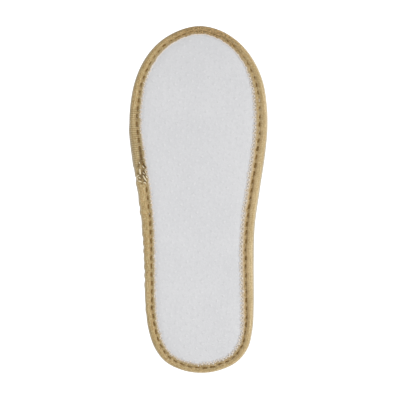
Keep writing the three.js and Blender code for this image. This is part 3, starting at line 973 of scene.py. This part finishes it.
def whiteNap(name):
    finish = Finish(name)
    place = finish.place()
    brushed = finish.node("ShaderNodeMapping", sockets={"Vector": place, "Scale": (0.35, 1.0, 1.0)})
    pile = finish.noise(brushed, 1500.0, 3.0, 0.65)
    tuft = finish.noise(place, 420.0, 3.0, 0.6)
    cloud = finish.noise(place, 30.0, 2.0)
    tone = finish.mix(cloud.between(0.3, 0.7), (0.75, 0.74, 0.715), (0.81, 0.802, 0.785))
    tone = finish.mix((1 - pile.between(0.3, 0.62)) * 0.4, tone, (0.6, 0.585, 0.555))
    return finish.surface(
        Base_Color=tone, Roughness=0.95, Sheen_Weight=0.35, Sheen_Roughness=0.6, Specular_IOR_Level=0.15,
        Normal=finish.bump(pile * 0.7 + tuft * 0.6, 0.6 * mm, 0.55))


def makeNap(name, surface, settings):
    # short fibres over the cloth, spread evenly by area and combed a little towards the heel
    draw = np.random.default_rng(settings["seed"])
    faces = surface.data.polygons
    area = getValues(faces, "area", 1)[:, 0]
    middle = toSlipper(getValues(faces, "center"))
    normal = getValues(faces, "normal") @ axes.T
    clear = (middle[:, 2] > settings["lowest"]) & (toRow(middle)[:, 2] > settings["offFloor"] * mm)
    area = np.where(clear, area, 0)
    chosen = draw.choice(len(area), settings["count"], p=area / area.sum())
    corners = [faces[i].vertices for i in chosen]
    points = toSlipper(getPoints(surface))
    weights = draw.dirichlet(np.ones(4), len(chosen))
    spots = np.array([sum(w * points[v] for w, v in zip(weight / weight[:len(c)].sum(), c))
                      for weight, c in zip(weights, corners)])
    way = normal[chosen] + draw.normal(0, settings["tousle"], (len(chosen), 3)) + settings["comb"]
    way /= np.linalg.norm(way, axis=1)[:, None]
    side = np.cross(way, draw.normal(0, 1, (len(chosen), 3)))
    side /= np.linalg.norm(side, axis=1)[:, None]
    length = draw.uniform(*settings["length"], len(chosen))[:, None]
    width = settings["width"]
    turns = np.stack([side * width, np.cross(way, side) * width, way * length], axis=1)
    return scatter(name, fibre(), spots, turns)


footbedPad = puffed("insole", "footbedPad", footbed)
finishPiece(footbedPad, whiteNap("footbedNap"), "insole")

# Upper: the hollow cloth wall, smoothed, with its soft folds
upperFolds = [
    # a row for each fold: its middle, the way it runs in plan, its length, width and depth
    {"along": 208, "across": -6, "turn": 82, "length": 46, "width": 9, "depth": 1.3},
    {"along": 226, "across": 6, "turn": 96, "length": 38, "width": 8, "depth": 1.0},
    {"along": 190, "across": -24, "turn": 60, "length": 34, "width": 9, "depth": 1.4},
    {"along": 192, "across": 26, "turn": 118, "length": 30, "width": 8, "depth": 0.9},
    {"along": 248, "across": -14, "turn": 70, "length": 26, "width": 8, "depth": 0.8},
]
foldLift = {"from": 14, "full": 30}  # the folds begin at this height


def makeUpper():
    piece = copyNode("upper", "upperCloth")
    applyModifier(piece, "SUBSURF", levels=2, render_levels=2)
    points = toSlipper(getPoints(piece))
    lift = smoothStep(foldLift["from"], foldLift["full"], points[:, 2])
    drop = np.zeros(len(points))
    for fold in upperFolds:
        turn = math.radians(fold["turn"])
        along, across = points[:, 0] - fold["along"], points[:, 1] - fold["across"]
        run = along * math.cos(turn) + across * math.sin(turn)
        side = -along * math.sin(turn) + across * math.cos(turn)
        reach = np.exp(-((run / fold["length"] * 2) ** 2)) * lift
        drop += fold["depth"] * reach * (np.exp(-((side / fold["width"] * 2) ** 2)) * 1.6
                                         - 0.6 * np.exp(-((side / fold["width"]) ** 2)))
    points[:, 2] -= drop
    setPoints(piece, toRow(points))
    tidyMesh(piece, join=0.0005)
    return piece


upperCloth = makeUpper()
finishPiece(upperCloth, whiteNap("upperNap"), "upper")

upperFuzz = {
    "seed": 51, "count": 24000, "length": (0.5, 1.2), "width": 0.12, "lowest": 13, "offFloor": 1.5,
    "tousle": 0.45, "comb": (-0.5, 0, 0),
}
whiteFibre = threadFinish("whiteFibre", (0.83, 0.82, 0.8), (0.76, 0.75, 0.72))
finishPiece(makeNap("upperFuzz", upperCloth, upperFuzz), whiteFibre)

# Hem: a row of stitches round the collar, a little in from its edge, outside and inside
hem = {
    "inset": 8.2, "pitch": 3.2, "length": 2.4, "width": 0.7, "thickness": 0.5, "axisHeight": 12,
    "endGap": 2, "lowest": 9, "rayLength": 120, "fan": (4, 176), "rays": 120, "rayWidth": 0.03, "smooth": 6,
}


def collarLine():
    # the collar's rearmost places, seen round the foot's axis
    points = toSlipper(getPoints(upperCloth))
    points = points[points[:, 2] > hem["lowest"]]
    angle = np.arctan2(points[:, 2] - hem["axisHeight"], points[:, 1])
    rays = np.linspace(*np.radians(hem["fan"]), hem["rays"])
    rear = np.array([points[abs(angle - ray) < hem["rayWidth"], 0].min() for ray in rays])
    padded = np.pad(rear, hem["smooth"], mode="edge")
    window = np.ones(2 * hem["smooth"] + 1)
    return rays, np.convolve(padded, window / len(window), "valid")


def makeHem():
    rays, rear = collarLine()
    surface = BVHTree.FromObject(upperCloth, bpy.context.evaluated_depsgraph_get())
    spots, turns = [], []
    for outside in (True, False):
        line, normals = [], []
        for angle, along in zip(rays, rear):
            middle = np.array([along + hem["inset"], 0, hem["axisHeight"]])
            ray = np.array([0, math.cos(angle), math.sin(angle)])
            start = toRow(middle + ray * hem["rayLength"]) if outside else toRow(middle)
            toward = Vector(ray @ axes) * (-1 if outside else 1)
            hit, normal, _, _ = surface.ray_cast(Vector(start), toward)
            line.append(toSlipper(np.array(hit)))
            normals.append(axes @ np.array(normal))
        line, normals = np.array(line), np.array(normals)
        steps = np.append(0, np.cumsum(np.linalg.norm(np.diff(line, axis=0), axis=1)))
        places = np.arange(hem["endGap"], steps[-1] - hem["endGap"], hem["pitch"])
        spot = np.column_stack([np.interp(places, steps, line[:, k]) for k in range(3)])
        ahead = np.column_stack([np.interp(places + 1, steps, line[:, k]) for k in range(3)])
        normal = np.column_stack([np.interp(places, steps, normals[:, k]) for k in range(3)])
        run = ahead - spot
        run /= np.linalg.norm(run, axis=1)[:, None]
        side = np.cross(normal, run)
        side /= np.linalg.norm(side, axis=1)[:, None]
        spots.append(spot)
        turns.append(np.stack([run, side, np.cross(run, side)], axis=1))
    pattern = bead(8, 6, hem["length"], hem["width"], hem["thickness"])
    return scatter("hemStitches", pattern, np.concatenate(spots), np.concatenate(turns))


finishPiece(makeHem(), threadFinish("whiteThread", (0.8, 0.79, 0.77), (0.66, 0.65, 0.62)))

# Floor and light: a white panel that shines, a room brighter above the heel, a soft lamp before the sole
stage = {
    "floorSize": 40.0, "floorShine": 1.2, "worldLight": 0.43, "brightSide": (-0.67, 0, 0.74), "lean": 0.8,
}
softLamp = {"at": (105, 8, -300), "facing": (105, 0, 0), "size": 0.2, "power": 0.12}


def addFloor():
    bpy.ops.object.select_all(action="DESELECT")
    bpy.ops.mesh.primitive_plane_add(size=stage["floorSize"])
    floor = bpy.context.object
    floor.name = "floor"
    finish = Finish("paleFloor")
    grain = finish.noise(finish.place(), 3.0, 2.0)
    tone = finish.mix(grain.between(0.3, 0.7), (0.2, 0.2, 0.2), (0.22, 0.22, 0.22))
    floor.data.materials.append(finish.surface(
        Base_Color=tone, Roughness=0.9, Specular_IOR_Level=0.0,
        Emission_Color=(1, 1, 1), Emission_Strength=stage["floorShine"]))


def addRoom():
    world = bpy.data.worlds.new("room")
    bpy.context.scene.world = world
    world.use_nodes = True
    nodes, links = world.node_tree.nodes, world.node_tree.links
    backdrop = nodes["Background"]
    backdrop.inputs["Strength"].default_value = stage["worldLight"]
    way = nodes.new("ShaderNodeTexCoord")
    toward = nodes.new("ShaderNodeVectorMath")
    toward.operation = "DOT_PRODUCT"
    toward.inputs[1].default_value = stage["brightSide"]
    fade = nodes.new("ShaderNodeMapRange")
    fade.inputs["From Min"].default_value = -1
    fade.inputs["To Min"].default_value = 1 - stage["lean"]
    fade.inputs["To Max"].default_value = 1 + stage["lean"]
    links.new(way.outputs["Generated"], toward.inputs[0])
    links.new(toward.outputs["Value"], fade.inputs["Value"])
    links.new(fade.outputs[0], backdrop.inputs["Color"])


def addLamp():
    data = bpy.data.lights.new("softLamp", "AREA")
    data.shape = "DISK"
    data.size = softLamp["size"]
    data.energy = softLamp["power"]
    lamp = newObject("softLamp", data)
    lamp.location = toRow(softLamp["at"])
    lamp.rotation_mode = "QUATERNION"
    aim = Vector(toRow(softLamp["at"]) - toRow(softLamp["facing"]))
    lamp.rotation_quaternion = aim.to_track_quat("Z", "Y")
    lamp.visible_camera = False


addFloor()
addRoom()
addLamp()
bpy.context.scene.view_settings.view_transform = "Standard"
print("stage set")
